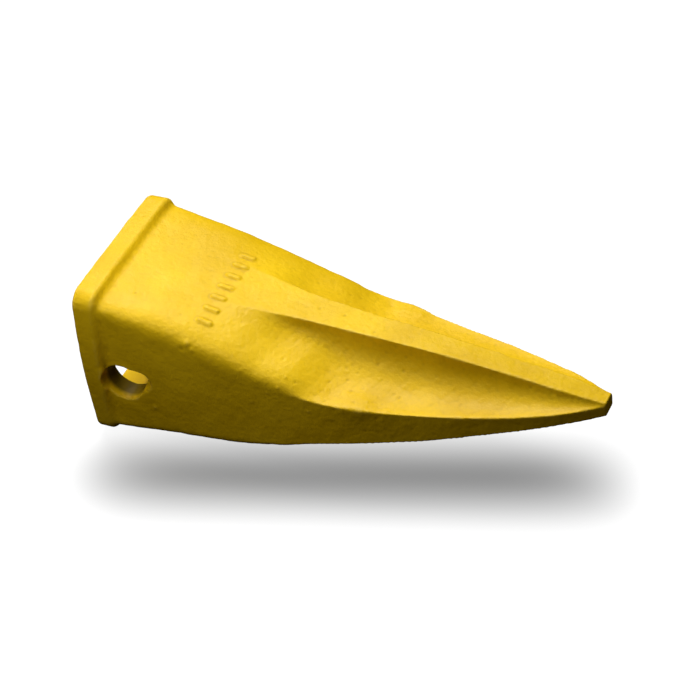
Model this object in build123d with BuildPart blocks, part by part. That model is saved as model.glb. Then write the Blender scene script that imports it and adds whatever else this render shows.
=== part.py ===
"""Excavator bucket tooth: a side-pinned, socketed long tip with its lock pin and retainer ring.

Frame: origin at the centre of the rear rim, +X forward to the tip, +Z up, pin axis along Y. Millimetres.
"""

from build123d import *

import os
from typing import NamedTuple

# ---------------------------------------------------------------- driving dimensions
TIP_LENGTH = 290.0

COLLAR_WIDTH = 97.5  # across the corners
COLLAR_HEIGHT = 99.0
COLLAR_SIDE_CROWN = 3.2  # the sides bulge by this much at mid height
COLLAR_TOP_CROWN = 0.6
COLLAR_LENGTH = 14.0  # along the top
COLLAR_LENGTH_BELOW = 10.5  # along the bottom
COLLAR_CORNER_RADIUS = 10.0
COLLAR_EDGE_ROUND = 2.5

SOCKET_MOUTH = (70.0, 71.0)  # width, height at the rear rim
SOCKET_THROAT = (65.0, 34.0)  # where the wedge ends
SOCKET_END = (63.0, 30.0)  # nearly parallel seat for the nose end
SOCKET_THROAT_DEPTH = 88.0
SOCKET_DEPTH = 108.0
SOCKET_CORNER_RADIUS = 10.0
SOCKET_END_RADIUS = 7.0

PIN_X = 22.0
PIN_Z = -8.5
BORE_RADIUS = 12.0
FLARE_FORWARD = (11.0, -3.5)  # offset of the flared mouth's second centre, x and z
FLARE_RADIUS = 7.5
FLARE_DEPTH = 9.0
FLARE_ANGLE = 25.0
FLARE_OVERRUN = 1.0  # the cut starts this far outside the side face

PIN_RADIUS = 11.0
PIN_LENGTH = 94.0
PIN_CHAMFER = 2.0
PIN_START = 22.0  # how far the pin stands short of home

RING_INNER_RADIUS = 11.2
RING_OUTER_RADIUS = 17.0
RING_THICKNESS = 8.0
RING_GAP = 5.0
RING_EDGE_ROUND = 0.8
SEAT_RADIUS = 18.0
SEAT_FLOOR_Y = 40.5  # inner face of the far wall, cut back for the ring
SEAT_CLEARANCE = 0.3
GROOVE_DEPTH = 1.8
GROOVE_SIDE = 0.8  # axial room on each side of the ring in the groove

MARK_COUNT = 7
MARK_SIZE = (8.5, 2.4)
MARK_PITCH = 9.2
MARK_X = 72.0
MARK_Y = -5.0
MARK_HEIGHT = 1.0


class Section(NamedTuple):
    """One cross-section of the outer casting at a distance x ahead of the rear rim.

    side: half width. rib, top: half width and height of the flat top of the rib.
    shoulder: height where the upper flank meets the side face.
    foot, brow: 1 where the flank is convex (body) and 0 where it is hollow (flute), at the rib
    and at the shoulder. The under values say the same for the lower half, heights counted down.
    """

    x: float
    side: float
    rib: float
    top: float
    shoulder: float
    foot: float
    brow: float
    under_rib: float
    under: float
    under_shoulder: float
    under_foot: float
    under_brow: float


STATIONS = [
    Section(4, 48.0, 24, 48.0, 41, 1.0, 1.0, 24, 47.6, 41, 1.0, 1.0),
    Section(48, 48.0, 19, 41.6, 28, 1.0, 1.0, 19, 44.0, 35, 1.0, 1.0),
    Section(90, 48.0, 14, 35.2, 17, 0.6, 1.0, 14, 40.0, 31, 1.0, 1.0),
    Section(118, 47.6, 10.5, 31.8, 11, 0.0, 0.93, 11, 35.5, 27, 0.5, 1.0),
    Section(147, 45.8, 9, 29, 7.0, -0.06, 0.12, 9, 28.5, 21, 0.2, 0.6),
    Section(192, 37.6, 7.6, 25.2, 5, -0.02, 0.0, 8, 21, 14, 0.0, 0.3),
    Section(237, 26.8, 6.6, 19.7, 6.2, 0.06, 0.0, 6.5, 11.5, 5, 0.0, 0.2),
    Section(266, 17.0, 6.0, 15.5, 8, 0.1, 0.0, 5.5, 4, 0, 0.0, 0.2),
    Section(TIP_LENGTH, 5.2, 4.6, 11.7, 10, 0.3, 0.3, 4.4, -3, -3.6, 0.5, 0.5),
]

STEPS_BETWEEN = 3  # cross-sections made for each gap between two stations

CONVEX_REACH = 0.81
HOLLOW_FOOT = (0.04, 0.16)  # share of the flank's width and height at the foot of the rib
HOLLOW_FLOOR = (0.55, -0.05)


def flank_controls(rib, top, side, shoulder, foot, brow):
    """Control points of the flank from the rib's edge to the side face."""
    width = side - rib
    height = top - shoulder
    convex = ((rib + CONVEX_REACH * width, top), (side, shoulder + CONVEX_REACH * height))
    hollow = (
        (rib + HOLLOW_FOOT[0] * width, shoulder + HOLLOW_FOOT[1] * height),
        (rib + HOLLOW_FLOOR[0] * width, shoulder + HOLLOW_FLOOR[1] * height),
    )
    return [
        tuple(share * c + (1 - share) * h for c, h in zip(full, bare))
        for share, full, bare in zip((foot, brow), convex, hollow)
    ]


def gentle_slopes(xs, values):
    """Slopes at each station that never overshoot: the harmonic mean of the two sides."""
    steps = [
        (values[i + 1] - values[i]) / (xs[i + 1] - xs[i]) for i in range(len(xs) - 1)
    ]
    inner = [
        2 * before * after / (before + after) if before * after > 0 else 0.0
        for before, after in zip(steps, steps[1:])
    ]
    return [steps[0], *inner, steps[-1]]


def blend_sections(stations):
    """Cross-sections eased between the stations with cubic steps, field by field."""
    xs = [station.x for station in stations]
    columns = list(zip(*stations))
    slopes = [gentle_slopes(xs, column) for column in columns]
    sections = [stations[0]]
    for i in range(len(xs) - 1):
        gap = xs[i + 1] - xs[i]
        for step in range(1, STEPS_BETWEEN + 1):
            t = step / STEPS_BETWEEN
            start = (1 + 2 * t) * (1 - t) ** 2
            end = t**2 * (3 - 2 * t)
            leave = t * (1 - t) ** 2 * gap
            arrive = t**2 * (t - 1) * gap
            fields = [
                start * column[i] + end * column[i + 1] + leave * slope[i] + arrive * slope[i + 1]
                for column, slope in zip(columns, slopes)
            ]
            sections.append(Section(*fields))
    return sections


def half_outline(section):
    """Points (y, z) of the +Y half, from the rib's upper edge down to its lower edge."""
    upper = flank_controls(
        section.rib, section.top, section.side, section.shoulder, section.foot, section.brow
    )
    lower = flank_controls(
        section.under_rib,
        section.under,
        section.side,
        section.under_shoulder,
        section.under_foot,
        section.under_brow,
    )
    upper_flank = [(section.rib, section.top), *upper, (section.side, section.shoulder)]
    lower_flank = [(y, -z) for y, z in reversed(lower)]
    lower_flank = [
        (section.side, -section.under_shoulder),
        *lower_flank,
        (section.under_rib, -section.under),
    ]
    return upper_flank, lower_flank


def section_plane(x):
    """Plane across the tooth at x, with its local x along +Y and its local y along +Z."""
    return Plane(origin=(x, 0, 0), x_dir=(0, 1, 0), z_dir=(1, 0, 0))


def mirrored(points):
    return [(-y, z) for y, z in reversed(points)]


# ---------------------------------------------------------------- tooth tip casting
with BuildPart() as body:
    for section in blend_sections(STATIONS):
        upper_flank, lower_flank = half_outline(section)
        with BuildSketch(section_plane(section.x)):
            with BuildLine():
                Bezier(*upper_flank)
                Line(upper_flank[-1], lower_flank[0])
                Bezier(*lower_flank)
                Line(lower_flank[-1], mirrored(lower_flank)[0])
                Bezier(*mirrored(lower_flank))
                Line(mirrored(lower_flank)[-1], mirrored(upper_flank)[0])
                Bezier(*mirrored(upper_flank))
                Line(mirrored(upper_flank)[-1], upper_flank[0])
            make_face()
    loft()

with BuildPart() as collar:
    half_width = COLLAR_WIDTH / 2
    half_height = COLLAR_HEIGHT / 2
    with BuildSketch(section_plane(0)) as rim:
        with BuildLine():
            ThreePointArc(
                (half_width, -half_height),
                (half_width + COLLAR_SIDE_CROWN, 0),
                (half_width, half_height),
            )
            ThreePointArc(
                (half_width, half_height),
                (0, half_height + COLLAR_TOP_CROWN),
                (-half_width, half_height),
            )
            ThreePointArc(
                (-half_width, half_height),
                (-half_width - COLLAR_SIDE_CROWN, 0),
                (-half_width, -half_height),
            )
            ThreePointArc(
                (-half_width, -half_height),
                (0, -half_height - COLLAR_TOP_CROWN),
                (half_width, -half_height),
            )
        make_face()
        fillet(rim.vertices(), COLLAR_CORNER_RADIUS)
    extrude(amount=2 * COLLAR_LENGTH)
    rear_edges = collar.faces().sort_by(Axis.X)[0].edges()
    fillet(rear_edges, COLLAR_EDGE_ROUND / 2)
    # the front face leans, so the band is thicker at the top than underneath
    lean = (COLLAR_LENGTH - COLLAR_LENGTH_BELOW) / COLLAR_HEIGHT
    middle = (COLLAR_LENGTH + COLLAR_LENGTH_BELOW) / 2
    split(bisect_by=Plane(origin=(middle, 0, 0), z_dir=(1, 0, -lean)), keep=Keep.BOTTOM)
    front_edges = collar.faces().sort_by(Axis.X)[-1].edges()
    fillet(front_edges, COLLAR_EDGE_ROUND)

with BuildPart() as marks:
    with BuildSketch(Plane.XY.offset(SOCKET_END[1] / 2)):
        with Locations((MARK_X, MARK_Y)):
            with GridLocations(MARK_PITCH, MARK_PITCH, 1, MARK_COUNT):
                SlotOverall(MARK_SIZE[0], MARK_SIZE[1])
    extrude(amount=COLLAR_HEIGHT / 2)
    add(Pos(0, 0, MARK_HEIGHT) * body.part, mode=Mode.INTERSECT)

with BuildPart() as tooth_tip:
    add(body.part)
    add(collar.part)
    add(marks.part)
    # tapered socket for the adapter nose
    with BuildSketch(section_plane(0)):
        RectangleRounded(*SOCKET_MOUTH, SOCKET_CORNER_RADIUS)
    with BuildSketch(section_plane(SOCKET_THROAT_DEPTH)):
        RectangleRounded(*SOCKET_THROAT, SOCKET_END_RADIUS)
    with BuildSketch(section_plane(SOCKET_DEPTH)):
        RectangleRounded(*SOCKET_END, SOCKET_END_RADIUS)
    loft(ruled=True, mode=Mode.SUBTRACT)
    # pin bore through both walls
    with BuildSketch(Plane.XZ.offset(-COLLAR_WIDTH)):
        with Locations((PIN_X, PIN_Z)):
            Circle(BORE_RADIUS)
    extrude(amount=2 * COLLAR_WIDTH, mode=Mode.SUBTRACT)
    # seat for the retainer ring, on the inner face of the far wall
    with BuildSketch(Plane.XZ.offset(-SEAT_FLOOR_Y)):
        with Locations((PIN_X, PIN_Z)):
            Circle(SEAT_RADIUS)
    extrude(amount=SEAT_FLOOR_Y, mode=Mode.SUBTRACT)
    # flared mouth of each bore
    for outward in (-1, 1):
        outer_face = Plane(
            origin=(PIN_X, outward * (STATIONS[0].side + FLARE_OVERRUN), PIN_Z),
            x_dir=(1, 0, 0),
            z_dir=(0, -outward, 0),
        )
        with BuildSketch(outer_face):
            Circle(BORE_RADIUS)
            with Locations((FLARE_FORWARD[0], outward * -FLARE_FORWARD[1])):
                Circle(FLARE_RADIUS)
            make_hull()
        extrude(amount=FLARE_DEPTH, taper=FLARE_ANGLE, mode=Mode.SUBTRACT)
tooth_tip.part.label = "tooth_tip"

# ---------------------------------------------------------------- lock pin
pin_near_end = -PIN_LENGTH / 2 + PIN_START
ring_centre_y = SEAT_FLOOR_Y - SEAT_CLEARANCE - RING_THICKNESS / 2
groove_half = RING_THICKNESS / 2 + GROOVE_SIDE
groove_centre = ring_centre_y + PIN_START

with BuildPart() as lock_pin:
    with BuildSketch(Plane.XZ.offset(-pin_near_end)):
        with Locations((PIN_X, PIN_Z)):
            Circle(PIN_RADIUS)
    extrude(amount=-PIN_LENGTH)
    chamfer(lock_pin.edges(), PIN_CHAMFER)
    with BuildSketch(Plane(origin=(PIN_X, groove_centre, PIN_Z), x_dir=(1, 0, 0), z_dir=(0, 0, 1))):
        with BuildLine():
            Polyline(
                (PIN_RADIUS + 1, groove_half + 1),
                (PIN_RADIUS - GROOVE_DEPTH, groove_half - GROOVE_DEPTH),
                (PIN_RADIUS - GROOVE_DEPTH, -groove_half + GROOVE_DEPTH),
                (PIN_RADIUS + 1, -groove_half - 1),
                close=True,
            )
        make_face()
    revolve(axis=Axis((PIN_X, 0, PIN_Z), (0, 1, 0)), mode=Mode.SUBTRACT)
lock_pin.part.label = "lock_pin"

# ---------------------------------------------------------------- retainer ring
with BuildPart() as retainer_ring:
    with BuildSketch(Plane.XZ.offset(-ring_centre_y)):
        with Locations((PIN_X, PIN_Z)):
            Circle(RING_OUTER_RADIUS)
            Circle(RING_INNER_RADIUS, mode=Mode.SUBTRACT)
        with Locations((PIN_X + RING_OUTER_RADIUS, PIN_Z)):
            Rectangle(2 * RING_OUTER_RADIUS, RING_GAP, mode=Mode.SUBTRACT)
    extrude(amount=RING_THICKNESS / 2, both=True)
    round_edges = retainer_ring.edges().filter_by(GeomType.CIRCLE)
    chamfer(round_edges, RING_EDGE_ROUND)
retainer_ring.part.label = "retainer_ring"

# ---------------------------------------------------------------- output
os.makedirs("parts", exist_ok=True)
export_step(tooth_tip.part, "parts/tooth_tip.step")
export_step(lock_pin.part, "parts/lock_pin.step")
export_step(retainer_ring.part, "parts/retainer_ring.step")
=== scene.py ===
import math

import bpy
import numpy as np
from mathutils import Matrix, Vector, noise


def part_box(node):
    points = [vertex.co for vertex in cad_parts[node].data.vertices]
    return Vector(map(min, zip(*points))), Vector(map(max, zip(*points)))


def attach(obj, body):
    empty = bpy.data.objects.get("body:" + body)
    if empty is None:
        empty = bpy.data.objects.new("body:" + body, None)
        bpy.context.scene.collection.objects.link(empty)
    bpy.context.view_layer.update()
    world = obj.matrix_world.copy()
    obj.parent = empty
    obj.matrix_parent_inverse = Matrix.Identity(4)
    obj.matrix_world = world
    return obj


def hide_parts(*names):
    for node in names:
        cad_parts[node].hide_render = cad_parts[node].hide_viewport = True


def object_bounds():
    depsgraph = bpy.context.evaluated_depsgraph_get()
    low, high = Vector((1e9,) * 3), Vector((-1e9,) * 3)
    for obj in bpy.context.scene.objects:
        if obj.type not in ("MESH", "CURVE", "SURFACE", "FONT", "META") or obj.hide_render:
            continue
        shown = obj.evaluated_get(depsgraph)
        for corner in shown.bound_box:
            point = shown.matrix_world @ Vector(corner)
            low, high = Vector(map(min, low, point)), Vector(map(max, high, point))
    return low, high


# Looks of the excavator bucket tooth: a painted casting, its lock pin and its retainer ring.
# Blender's units are metres. Sizes of the casting's skin are written in millimetres, times MM.

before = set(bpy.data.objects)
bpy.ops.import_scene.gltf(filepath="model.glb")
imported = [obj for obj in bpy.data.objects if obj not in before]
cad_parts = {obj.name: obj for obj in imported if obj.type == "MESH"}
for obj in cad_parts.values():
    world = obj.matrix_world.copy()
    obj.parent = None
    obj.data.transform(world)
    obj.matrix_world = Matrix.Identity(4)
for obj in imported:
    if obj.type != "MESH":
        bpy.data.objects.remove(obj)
cad_box = [list(corner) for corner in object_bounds()]

MM = 0.001

pin_low, pin_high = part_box("lock_pin")
pin_axis = Vector(((pin_low.x + pin_high.x) / 2, 0, (pin_low.z + pin_high.z) / 2))

# ---------------------------------------------------------------- casting, in millimetres
VOXEL = 0.62
RELAX_SHRINK = 0.6  # one round of relaxing is a step in and a slightly longer step out
RELAX_REGROW = -0.62
SOFTEN_PULL = 0.6
SKIN_ROUNDS = 4

# the collar's step and the fillet in front of it
COLLAR_FRONT = 12.25  # where the collar's front face crosses the centre plane
COLLAR_LEAN = 0.035  # its forward lean per unit of height
FILLET_OFFSET = 1.2  # from the step to the middle of the fillet
FILLET_REACH = 4.8  # how far the fillet spreads from its middle
FILLET_ROUNDS = 44

# uneven surface: height of each layer, size of its lumps, and seed of its noise
BROAD_SWELL = (0.28, 26, 1)
SMALL_SWELL = (0.18, 7, 2)
GRAIN = (0.09, 2.4, 3)
PIMPLES = (0.40, 4.6, 4)
PIMPLE_REACH = 0.35  # radius of a pimple, as a share of the spacing
PIMPLES_ELSEWHERE = 0.25  # share of a pimple's height that is left far from the hollows
HOLLOWS_MIDDLE = 150  # the stretch of the tooth with the hollows
HOLLOWS_REACH = 90

# places that are kept smooth: the socket mouth, the pin bore and the ring's seat
MOUTH_HALF = 39.5
MOUTH_DEPTH = 20.0
SEAT_REACH = 20.0
SEAT_DEPTH = 42.0
BORE_REACH = 13.4
BORE_RIM = 2.0  # width of the band around the bore where the uneven surface fades in

# shade painted on the walls of the pin bore
BORE_EDGE = 1.2  # width of the band where the shade fades towards the bore's radius
BORE_MOUTH = 45.5  # distance of each mouth from the centre plane
BORE_MOUTH_FADE = 3.0
BORE_SHADE = 0.9  # on the pin's axis, and how much paler it gets from there to the front
BORE_SHADE_LOSS = 0.5

CAVITY_ROUNDS = 16  # smoothing rounds that tell hollows from ridges

# blemishes left by the mould: place, reach and height
SCARS = [
    ((67, -45, 30), 3.2, 1.1),
    ((70, -46, 27), 2.6, 0.8),
    ((72, -46.5, 24), 2.0, 0.5),
    ((64, -46.5, 27), 3.0, -0.7),
    ((160, 39, 9), 15.0, 1.3),
    ((160, -39, 9), 15.0, 1.3),
    ((166, 38, 9), 5.0, 0.5),
    ((148, 40, 10), 5.0, -0.5),
    ((128, 14, 27), 3.0, 0.4),
    ((96, -40, 22), 2.2, 0.35),
    ((176, -22, 12), 2.4, 0.35),
    ((40, -48, -22), 2.6, 0.4),
    ((118, -46, -12), 3.0, -0.35),
    ((205, -12, 14), 2.0, -0.3),
    ((54, 20, 42), 2.0, 0.3),
    ((30, -30, 44), 1.8, -0.3),
    ((84, 30, 36), 2.4, 0.35),
]


def copy_as_piece(node, name):
    """A new object with its own copy of a CAD node's mesh."""
    piece = bpy.data.objects.new(name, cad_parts[node].data.copy())
    bpy.context.scene.collection.objects.link(piece)
    return piece


def apply_modifiers(piece):
    """Replaces the piece's mesh with the result of its modifiers."""
    depsgraph = bpy.context.evaluated_depsgraph_get()
    mesh = bpy.data.meshes.new_from_object(piece.evaluated_get(depsgraph))
    piece.modifiers.clear()
    piece.data = mesh


def read_points(mesh):
    points = np.empty(len(mesh.vertices) * 3)
    mesh.vertices.foreach_get("co", points)
    return points.reshape(-1, 3)


def read_edges(mesh):
    edges = np.empty(len(mesh.edges) * 2, np.int64)
    mesh.edges.foreach_get("vertices", edges)
    return edges.reshape(-1, 2)


def read_normals(mesh):
    normals = np.empty(len(mesh.vertices) * 3)
    mesh.vertices.foreach_get("normal", normals)
    return normals.reshape(-1, 3)


def write_points(mesh, points):
    mesh.vertices.foreach_set("co", points.ravel())
    mesh.update()


def neighbour_mean(points, edges, counts):
    """The mean place of each point's neighbours; counts says how many it has."""
    total = np.zeros_like(points)
    for axis in range(3):
        total[:, axis] = np.bincount(edges[:, 0], points[edges[:, 1], axis], len(points))
        total[:, axis] += np.bincount(edges[:, 1], points[edges[:, 0], axis], len(points))
    return total / counts[:, None]


def relax(points, edges, weight, rounds):
    """Smooths each point by its weight without shrinking the shape."""
    counts = np.bincount(edges.ravel(), minlength=len(points)).astype(float)
    for _ in range(rounds):
        for pull in (RELAX_SHRINK, RELAX_REGROW):
            mean = neighbour_mean(points, edges, counts)
            points = points + (weight * pull)[:, None] * (mean - points)
    return points


def soften(points, edges, weight, rounds):
    """Plain smoothing by weight, which rounds corners and fills creases."""
    counts = np.bincount(edges.ravel(), minlength=len(points)).astype(float)
    for _ in range(rounds):
        mean = neighbour_mean(points, edges, counts)
        points = points + (weight * SOFTEN_PULL)[:, None] * (mean - points)
    return points


def bump(values, centre, reach):
    """1 at the centre, easing to 0 at the given reach."""
    t = np.clip(1 - np.abs(values - centre) / reach, 0, 1)
    return t * t * (3 - 2 * t)


def noise_layer(points, layer):
    """Height of a layer of smooth noise at each point, in millimetres."""
    height, lump, seed = layer
    shift = Vector((seed * 7.31, seed * 3.77, seed * 5.13))
    scale = lump * MM
    return height * np.array([noise.noise(Vector(p) / scale + shift) for p in points])


def pimple_layer(points, layer):
    """Small round bumps, one per cell of the layer's spacing, each with its own height."""
    height, lump, seed = layer
    shift = Vector((seed * 2.9, seed * 4.3, seed * 1.7))
    spacing = lump * MM
    heights = np.zeros(len(points))
    for index, point in enumerate(points):
        distances, feature = noise.voronoi(Vector(point) / spacing + shift)
        if distances[0] < PIMPLE_REACH:
            size = noise.cell(feature[0] * 13.7)
            heights[index] = size * (1 - distances[0] / PIMPLE_REACH)
    return height * heights


def scar_heights(points):
    """Heights of the mould's blemishes at each point, in metres."""
    heights = np.zeros(len(points))
    for place, reach, height in SCARS:
        distance = np.linalg.norm(points - np.array(place) * MM, axis=1)
        heights += bump(distance, 0, reach * MM) * height * MM
    return heights


def cast_skin(piece):
    """Rounded edges, the fillet in front of the collar and the surface of a sand casting."""
    mesh = piece.data
    points = read_points(mesh)
    edges = read_edges(mesh)
    points = relax(points, edges, np.ones(len(points)), SKIN_ROUNDS)
    outside = outer_share(points)
    step = COLLAR_FRONT * MM + COLLAR_LEAN * points[:, 2]
    fillet = bump(points[:, 0], step + FILLET_OFFSET * MM, FILLET_REACH * MM) * outside
    points = soften(points, edges, fillet, FILLET_ROUNDS)
    write_points(mesh, points)
    normals = read_normals(mesh)
    swell = noise_layer(points, BROAD_SWELL) + noise_layer(points, SMALL_SWELL)
    grain = noise_layer(points, GRAIN)
    hollows = bump(points[:, 0], HOLLOWS_MIDDLE * MM, HOLLOWS_REACH * MM)
    pimply = PIMPLES_ELSEWHERE + (1 - PIMPLES_ELSEWHERE) * hollows
    rough = pimple_layer(points, PIMPLES) * pimply
    lift = (swell + grain + rough) * MM + scar_heights(points)
    points = points + normals * (lift * outside)[:, None]
    write_points(mesh, points)
    store(mesh, "bore", bore_shade_share(points))
    store(mesh, "cavity", cavity_depth(points, edges, read_normals(mesh)) / MM)


def store(mesh, name, values):
    """Keeps a value per point where the paint can read it."""
    mesh.attributes.new(name, "FLOAT", "POINT").data.foreach_set("value", values)


def cavity_depth(points, edges, normals):
    """How far each point lies below its smoothed surroundings; ridges are negative."""
    smooth = soften(points, edges, np.ones(len(points)), CAVITY_ROUNDS)
    return np.einsum("ij,ij->i", smooth - points, normals)


def distance_from_pin_axis(points):
    return np.hypot(points[:, 0] - pin_axis.x, points[:, 2] - pin_axis.z)


def bore_shade_share(points):
    """Share of the painted shade: strongest on the rear wall of the pin bore, easing to 0 at its
    mouths.
    """
    radius = distance_from_pin_axis(points)
    wall = np.clip((BORE_REACH * MM - radius) / (BORE_EDGE * MM), 0, 1)
    inward = BORE_MOUTH * MM - np.abs(points[:, 1])
    depth = np.clip(inward / (BORE_MOUTH_FADE * MM), 0, 1)
    forward = (points[:, 0] - pin_axis.x) / (BORE_REACH * MM)
    rear = np.clip(BORE_SHADE - BORE_SHADE_LOSS * forward, 0, 1)
    return wall * depth * rear


def outer_share(points):
    """1 on the outside of the casting, 0 in the socket's mouth, the bore and the ring's seat."""
    inside = (np.abs(points[:, 1]) < MOUTH_HALF * MM) & (np.abs(points[:, 2]) < MOUTH_HALF * MM)
    mouth = inside & (points[:, 0] < MOUTH_DEPTH * MM)
    radius = distance_from_pin_axis(points)
    seat = (radius < SEAT_REACH * MM) & (np.abs(points[:, 1]) < SEAT_DEPTH * MM)
    smooth = np.where(mouth | seat, 0.0, 1.0)
    return np.minimum(smooth, np.clip((radius - BORE_REACH * MM) / (BORE_RIM * MM), 0, 1))


def build_tip():
    """The casting: the CAD shape meshed evenly, with a cast skin."""
    piece = copy_as_piece("tooth_tip", "tip_casting")
    remesh = piece.modifiers.new("remesh", "REMESH")
    remesh.mode = "VOXEL"
    remesh.voxel_size = VOXEL * MM
    apply_modifiers(piece)
    cast_skin(piece)
    for polygon in piece.data.polygons:
        polygon.use_smooth = True
    return piece


# ---------------------------------------------------------------- materials
MIX_FACTOR, MIX_FIRST, MIX_SECOND, MIX_COLOUR = 0, 6, 7, 2  # colour sockets of a Mix node

PAINT_PALE = (0.92, 0.588, 0.007)
PAINT_DEEP = (0.79, 0.487, 0.002)
PAINT_SPECULAR = 0.17
PAINT_ROUGHNESS = (0.38, 0.52)
PAINT_BUMP = (0.35, 0.00035)  # strength, and depth in metres
DUST = (0.86, 0.85, 0.80)
DUST_SHARE = 0.4
# painted shade in the hollows of the skin, and how much of it is used
HOLLOW_SHADE_COLOUR = (0.60, 0.52, 0.30)
HOLLOW_SHADE_SHARE = 0.9
WORN_TINT = (0.96, 0.68, 0.12)
WORN_SHARE = 0.35
CAVITY_GAIN = 2.6  # from a point's depth in millimetres to the strength of its tint
# painted shade on the walls of the pin bore: its colour and strength
BORE_SHADE_COLOUR = (0.12, 0.078, 0.004)
BORE_SHADE_STRENGTH = 0.92
STREAK_SHADE = 0.78
STREAK_SHARE = 0.7
STEEL_ROUGHNESS_SPREAD = 0.12
STEEL_BUMP = (0.25, 0.0002)
TURNED_STRETCH = (90, 2500, 90)  # fine along the pin's axis, so the marks run round it
WHITE = (1.0, 1.0, 1.0)


def grey(value):
    return (value, value, value)


class Nodes:
    """A short way to write a node material."""

    def __init__(self, name):
        self.material = bpy.data.materials.new(name)
        self.material.use_nodes = True
        self.tree = self.material.node_tree
        self.shader = self.tree.nodes["Principled BSDF"]

    def add(self, kind, inputs=None, **settings):
        node = self.tree.nodes.new(kind)
        for key, value in settings.items():
            setattr(node, key, value)
        for key, value in (inputs or {}).items():
            self.set(node, key, value)
        return node

    def set(self, node, key, value):
        """Links the value to the socket if it is an output, and else sets it."""
        socket = node.inputs[key]
        if isinstance(value, bpy.types.NodeSocket):
            self.tree.links.new(value, socket)
        else:
            socket.default_value = value

    def noise(self, scale, detail=4.0, roughness=0.55):
        place = self.add("ShaderNodeTexCoord").outputs["Object"]
        texture = self.add(
            "ShaderNodeTexNoise",
            {"Vector": place, "Scale": scale, "Detail": detail, "Roughness": roughness},
        )
        return texture.outputs["Fac"]

    def ramp(self, factor, low, high):
        """A colour ramp between two stops, each a position and a colour."""
        node = self.add("ShaderNodeValToRGB", {"Fac": factor})
        for element, (position, colour) in zip(node.color_ramp.elements, (low, high)):
            element.position = position
            element.color = (*colour, 1.0)
        return node.outputs["Color"]

    def mix(self, factor, first, second, blend="MIX"):
        node = self.add("ShaderNodeMix", data_type="RGBA", blend_type=blend)
        self.set(node, MIX_FACTOR, factor)
        for key, value in ((MIX_FIRST, first), (MIX_SECOND, second)):
            is_output = isinstance(value, bpy.types.NodeSocket)
            self.set(node, key, value if is_output else (*value, 1.0))
        return node.outputs[MIX_COLOUR]

    def mix_shader(self, factor, first, second):
        return self.add("ShaderNodeMixShader", {0: factor, 1: first, 2: second}).outputs[0]

    def math(self, operation, first, second=0.0):
        return self.add("ShaderNodeMath", {0: first, 1: second}, operation=operation).outputs[0]

    def attribute(self, name):
        return self.add("ShaderNodeAttribute", attribute_name=name).outputs["Fac"]

    def surface(self, **inputs):
        """Sets the Principled shader's inputs; an underscore stands for a space."""
        for key, value in inputs.items():
            self.set(self.shader, key.replace("_", " "), value)

    def bump(self, height, strength, distance):
        node = self.add(
            "ShaderNodeBump", {"Height": height, "Strength": strength, "Distance": distance}
        )
        self.set(self.shader, "Normal", node.outputs["Normal"])


def paint_material():
    """Semi-gloss yellow paint over a cast skin, a little uneven in colour and gloss, with painted
    shade in its hollows and in the pin bore.
    """
    nodes = Nodes("yellow_paint")
    cloud = nodes.noise(22.0)
    speck = nodes.noise(420.0, 3.0, 0.6)
    tone = nodes.ramp(cloud, (0.35, PAINT_DEEP), (0.65, PAINT_PALE))
    dusty = nodes.ramp(speck, (0.30, DUST), (0.50, WHITE))
    colour = nodes.mix(DUST_SHARE, tone, dusty, "MULTIPLY")

    # painted shade darkens the hollows of the skin, and the paint is rubbed paler in patches on
    # its ridges
    cavity = nodes.attribute("cavity")
    sunk = nodes.math("MULTIPLY", cavity, CAVITY_GAIN)
    hollow_shade = nodes.ramp(sunk, (0.05, WHITE), (0.9, HOLLOW_SHADE_COLOUR))
    colour = nodes.mix(HOLLOW_SHADE_SHARE, colour, hollow_shade, "MULTIPLY")
    proud = nodes.math("MULTIPLY", cavity, -CAVITY_GAIN)
    worn = nodes.ramp(proud, (0.15, grey(0.0)), (0.8, grey(1.0)))
    patches = nodes.noise(160.0, 5.0, 0.7)
    rub = nodes.ramp(patches, (0.42, grey(0.0)), (0.62, grey(WORN_SHARE)))
    share = nodes.mix(1.0, worn, rub, "MULTIPLY")
    colour = nodes.mix(share, colour, WORN_TINT)

    # painted shade on the rear wall of the pin bore
    bore = nodes.math("MULTIPLY", nodes.attribute("bore"), BORE_SHADE_STRENGTH)
    colour = nodes.mix(bore, colour, BORE_SHADE_COLOUR)
    smooth, matt = PAINT_ROUGHNESS
    gloss = nodes.ramp(nodes.noise(60.0), (0.3, grey(smooth)), (0.7, grey(matt)))
    nodes.surface(Base_Color=colour, Roughness=gloss, Specular_IOR_Level=PAINT_SPECULAR)
    height = nodes.math("ADD", nodes.noise(900.0), nodes.math("MULTIPLY", speck, 1.6))
    nodes.bump(height, *PAINT_BUMP)
    return nodes.material


def steel_material(name, dark, light, rough):
    """Turned steel: fine rings around the pin's axis, with darker oily patches."""
    nodes = Nodes(name)
    place = nodes.add("ShaderNodeTexCoord").outputs["Object"]
    mapping = nodes.add("ShaderNodeMapping", {"Vector": place, "Scale": TURNED_STRETCH})
    turned = nodes.add(
        "ShaderNodeTexNoise", {"Vector": mapping.outputs["Vector"], "Scale": 1.0, "Detail": 5.0}
    ).outputs["Fac"]
    patch = nodes.noise(70.0, 5.0, 0.65)
    tone = nodes.ramp(patch, (0.38, dark), (0.62, light))
    streak = nodes.ramp(turned, (0.35, grey(STREAK_SHADE)), (0.60, WHITE))
    matt = rough + STEEL_ROUGHNESS_SPREAD
    nodes.surface(
        Base_Color=nodes.mix(STREAK_SHARE, tone, streak, "MULTIPLY"),
        Metallic=1.0,
        Roughness=nodes.ramp(patch, (0.35, grey(matt)), (0.65, grey(rough))),
    )
    nodes.bump(turned, *STEEL_BUMP)
    return nodes.material


def paint_with(piece, material):
    piece.data.materials.clear()
    piece.data.materials.append(material)


# ---------------------------------------------------------------- the object
tip = build_tip()
paint_with(tip, paint_material())
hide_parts("tooth_tip")
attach(tip, "tip")

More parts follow.
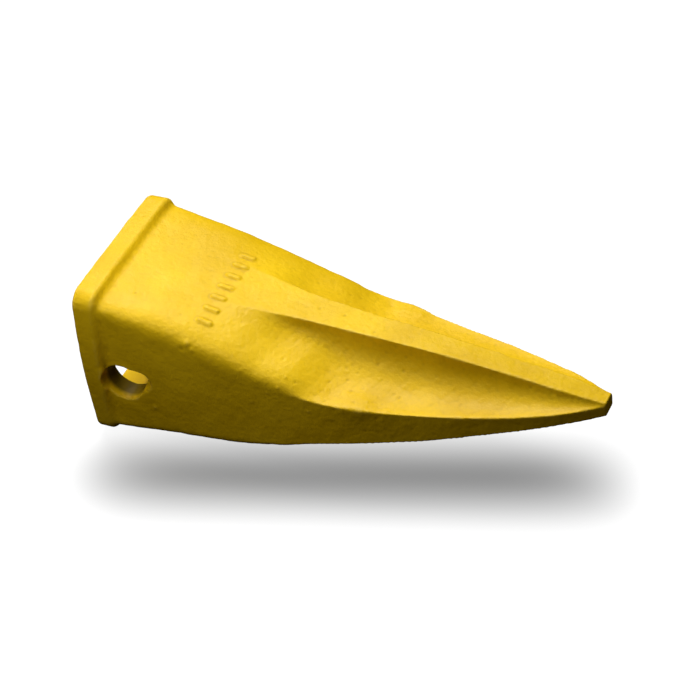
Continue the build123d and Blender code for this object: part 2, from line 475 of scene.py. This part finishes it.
paint_with(
    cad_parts["lock_pin"],
    steel_material("pin_steel", dark=(0.16, 0.15, 0.14), light=(0.42, 0.40, 0.38), rough=0.30),
)
paint_with(
    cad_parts["retainer_ring"],
    steel_material("ring_steel", dark=(0.03, 0.03, 0.034), light=(0.09, 0.09, 0.095), rough=0.42),
)

# ---------------------------------------------------------------- stage
FLOOR_REACH = 6.0
FLOOR_GREY = (0.115, 0.125)
FLOOR_GLOW = 0.97  # light added to the floor so the cast shadow stays pale
FLOOR_BOUNCE = (0.03, 0.022, 0.0, 1)  # the floor as the object sees it
# a soft shadow painted on the floor: its middle, its ellipse and its depth
SHADE_CENTRE = (0.151, -0.039, 0)
SHADE_LONG = (25.0, 0.166, 8)  # direction in degrees, half length and power of the ellipse
SHADE_ACROSS = (-72.7, 0.049, 2)
SHADE_DEPTH = 0.71


def painted_floor_shadow(nodes):
    """1 in the middle of the long soft shadow painted on the floor in front of the tooth, easing
    to 0 at its rim.
    """
    place = nodes.add("ShaderNodeTexCoord").outputs["Object"]
    offset = nodes.add("ShaderNodeVectorMath", {0: place, 1: SHADE_CENTRE}, operation="SUBTRACT")
    shares = []
    for angle, half, power in (SHADE_LONG, SHADE_ACROSS):
        turn = math.radians(angle)
        ruler = (math.cos(turn) / half, math.sin(turn) / half, 0)
        along = nodes.add(
            "ShaderNodeVectorMath", {0: offset.outputs[0], 1: ruler}, operation="DOT_PRODUCT"
        ).outputs["Value"]
        shares.append(nodes.math("POWER", nodes.math("ABSOLUTE", along), power))
    distance = nodes.math("SQRT", nodes.math("ADD", *shares))
    fade = nodes.add(
        "ShaderNodeMapRange",
        {"Value": distance, "From Min": 1.0, "From Max": 0.0},
        interpolation_type="SMOOTHSTEP",
    )
    return fade.outputs["Result"]


def floor_material():
    """White to the camera with a painted shadow in front of the tooth, dim to bounced light, and
    clear when it is seen from below.
    """
    nodes = Nodes("floor")
    darker, lighter = FLOOR_GREY
    grain = nodes.ramp(nodes.noise(3.0), (0.3, grey(darker)), (0.7, grey(lighter)))
    nodes.surface(Base_Color=grain, Roughness=1.0, Specular_IOR_Level=0.0)
    # the painted shadow dims the floor's glow
    shade = nodes.math("MULTIPLY", painted_floor_shadow(nodes), SHADE_DEPTH)
    glow = nodes.math("MULTIPLY", nodes.math("SUBTRACT", 1.0, shade), FLOOR_GLOW)
    nodes.surface(Emission_Color=(*WHITE, 1), Emission_Strength=glow)
    dim = nodes.add("ShaderNodeBsdfDiffuse", {"Color": FLOOR_BOUNCE}).outputs["BSDF"]
    camera_ray = nodes.add("ShaderNodeLightPath").outputs["Is Camera Ray"]
    above = nodes.mix_shader(camera_ray, dim, nodes.shader.outputs["BSDF"])
    backface = nodes.add("ShaderNodeNewGeometry").outputs["Backfacing"]
    clear = nodes.add("ShaderNodeBsdfTransparent").outputs["BSDF"]
    either = nodes.mix_shader(backface, above, clear)
    nodes.set(nodes.tree.nodes["Material Output"], "Surface", either)
    return nodes.material


def add_floor():
    """A wide square just under the lowest point of the object."""
    mesh = bpy.data.meshes.new("floor")
    level = min(cad_box[0][2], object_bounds()[0][2])
    r = FLOOR_REACH
    corners = [(-r, -r, level), (r, -r, level), (r, r, level), (-r, r, level)]
    mesh.from_pydata(corners, [], [(0, 1, 2, 3)])
    floor = bpy.data.objects.new("floor", mesh)
    bpy.context.scene.collection.objects.link(floor)
    floor.data.materials.append(floor_material())


def add_area(name, place, aim, size, watts):
    """A round area light that the camera doesn't see."""
    light = bpy.data.lights.new(name, "AREA")
    light.shape = "DISK"
    light.size = size
    light.energy = watts
    lamp = bpy.data.objects.new(name, light)
    lamp.location = place
    lamp.rotation_euler = (Vector(aim) - Vector(place)).to_track_quat("-Z", "Y").to_euler()
    lamp.visible_camera = False
    bpy.context.scene.collection.objects.link(lamp)


def add_world(above, below):
    """A studio that is bright overhead and dark towards and under the horizon."""
    world = bpy.data.worlds.new("studio")
    world.use_nodes = True
    tree = world.node_tree
    place = tree.nodes.new("ShaderNodeTexCoord")
    split = tree.nodes.new("ShaderNodeSeparateXYZ")
    ramp = tree.nodes.new("ShaderNodeValToRGB")
    low, high = ramp.color_ramp.elements
    low.position, high.position = WORLD_FADE
    low.color = (*grey(below), 1)
    high.color = (*grey(above), 1)
    tree.links.new(place.outputs["Generated"], split.inputs["Vector"])
    tree.links.new(split.outputs["Z"], ramp.inputs["Fac"])
    tree.links.new(ramp.outputs["Color"], tree.nodes["Background"].inputs["Color"])
    bpy.context.scene.world = world


CAMERA_AZIMUTH = 29.4  # degrees, as are the next two
CAMERA_ELEVATION = 40.8
CAMERA_ROLL = -8.0
CAMERA_DISTANCE = 1.474
CAMERA_AIM = Vector((0.1415, -0.0022, 0.0083))
CAMERA_LENS = 139.7
CAMERA_SENSOR = 36.0


def add_camera():
    """A long lens above the near front corner of the tooth, with a slight roll."""
    azimuth, elevation = math.radians(CAMERA_AZIMUTH), math.radians(CAMERA_ELEVATION)
    back = Vector(
        (
            math.sin(azimuth) * math.cos(elevation),
            -math.cos(azimuth) * math.cos(elevation),
            math.sin(elevation),
        )
    )
    camera = bpy.data.objects.new("camera", bpy.data.cameras.new("camera"))
    camera.data.lens = CAMERA_LENS
    camera.data.sensor_width = CAMERA_SENSOR
    upright = back.to_track_quat("Z", "Y").to_matrix().to_4x4()
    tilt = Matrix.Rotation(math.radians(CAMERA_ROLL), 4, "Z")
    camera.matrix_world = Matrix.Translation(CAMERA_AIM + back * CAMERA_DISTANCE) @ upright @ tilt
    bpy.context.scene.collection.objects.link(camera)
    bpy.context.scene.camera = camera


KEY_AIM = Vector((0.13, 0, 0))
LIGHT_DISTANCE = 2.2
KEY_PLACE = KEY_AIM + Vector((-0.28, 0.33, 0.90)) * LIGHT_DISTANCE
SHEEN_PLACE = KEY_AIM + Vector((-0.45, 0.66, 0.60)) * LIGHT_DISTANCE
FILL_PLACE = Vector((0.02, -0.17, 0.26))
WORLD_FADE = (0.1, 0.9)  # heights on the sky's sphere where the ramp starts and ends

add_floor()
add_area("key", KEY_PLACE, KEY_AIM, size=1.2, watts=46)
add_area("sheen", SHEEN_PLACE, KEY_AIM, size=0.5, watts=4)
add_area("fill", FILL_PLACE, KEY_AIM * 0.5, size=0.16, watts=0.27)
add_world(above=0.15, below=0.0)
add_camera()
bpy.context.scene.view_settings.view_transform = "Standard"
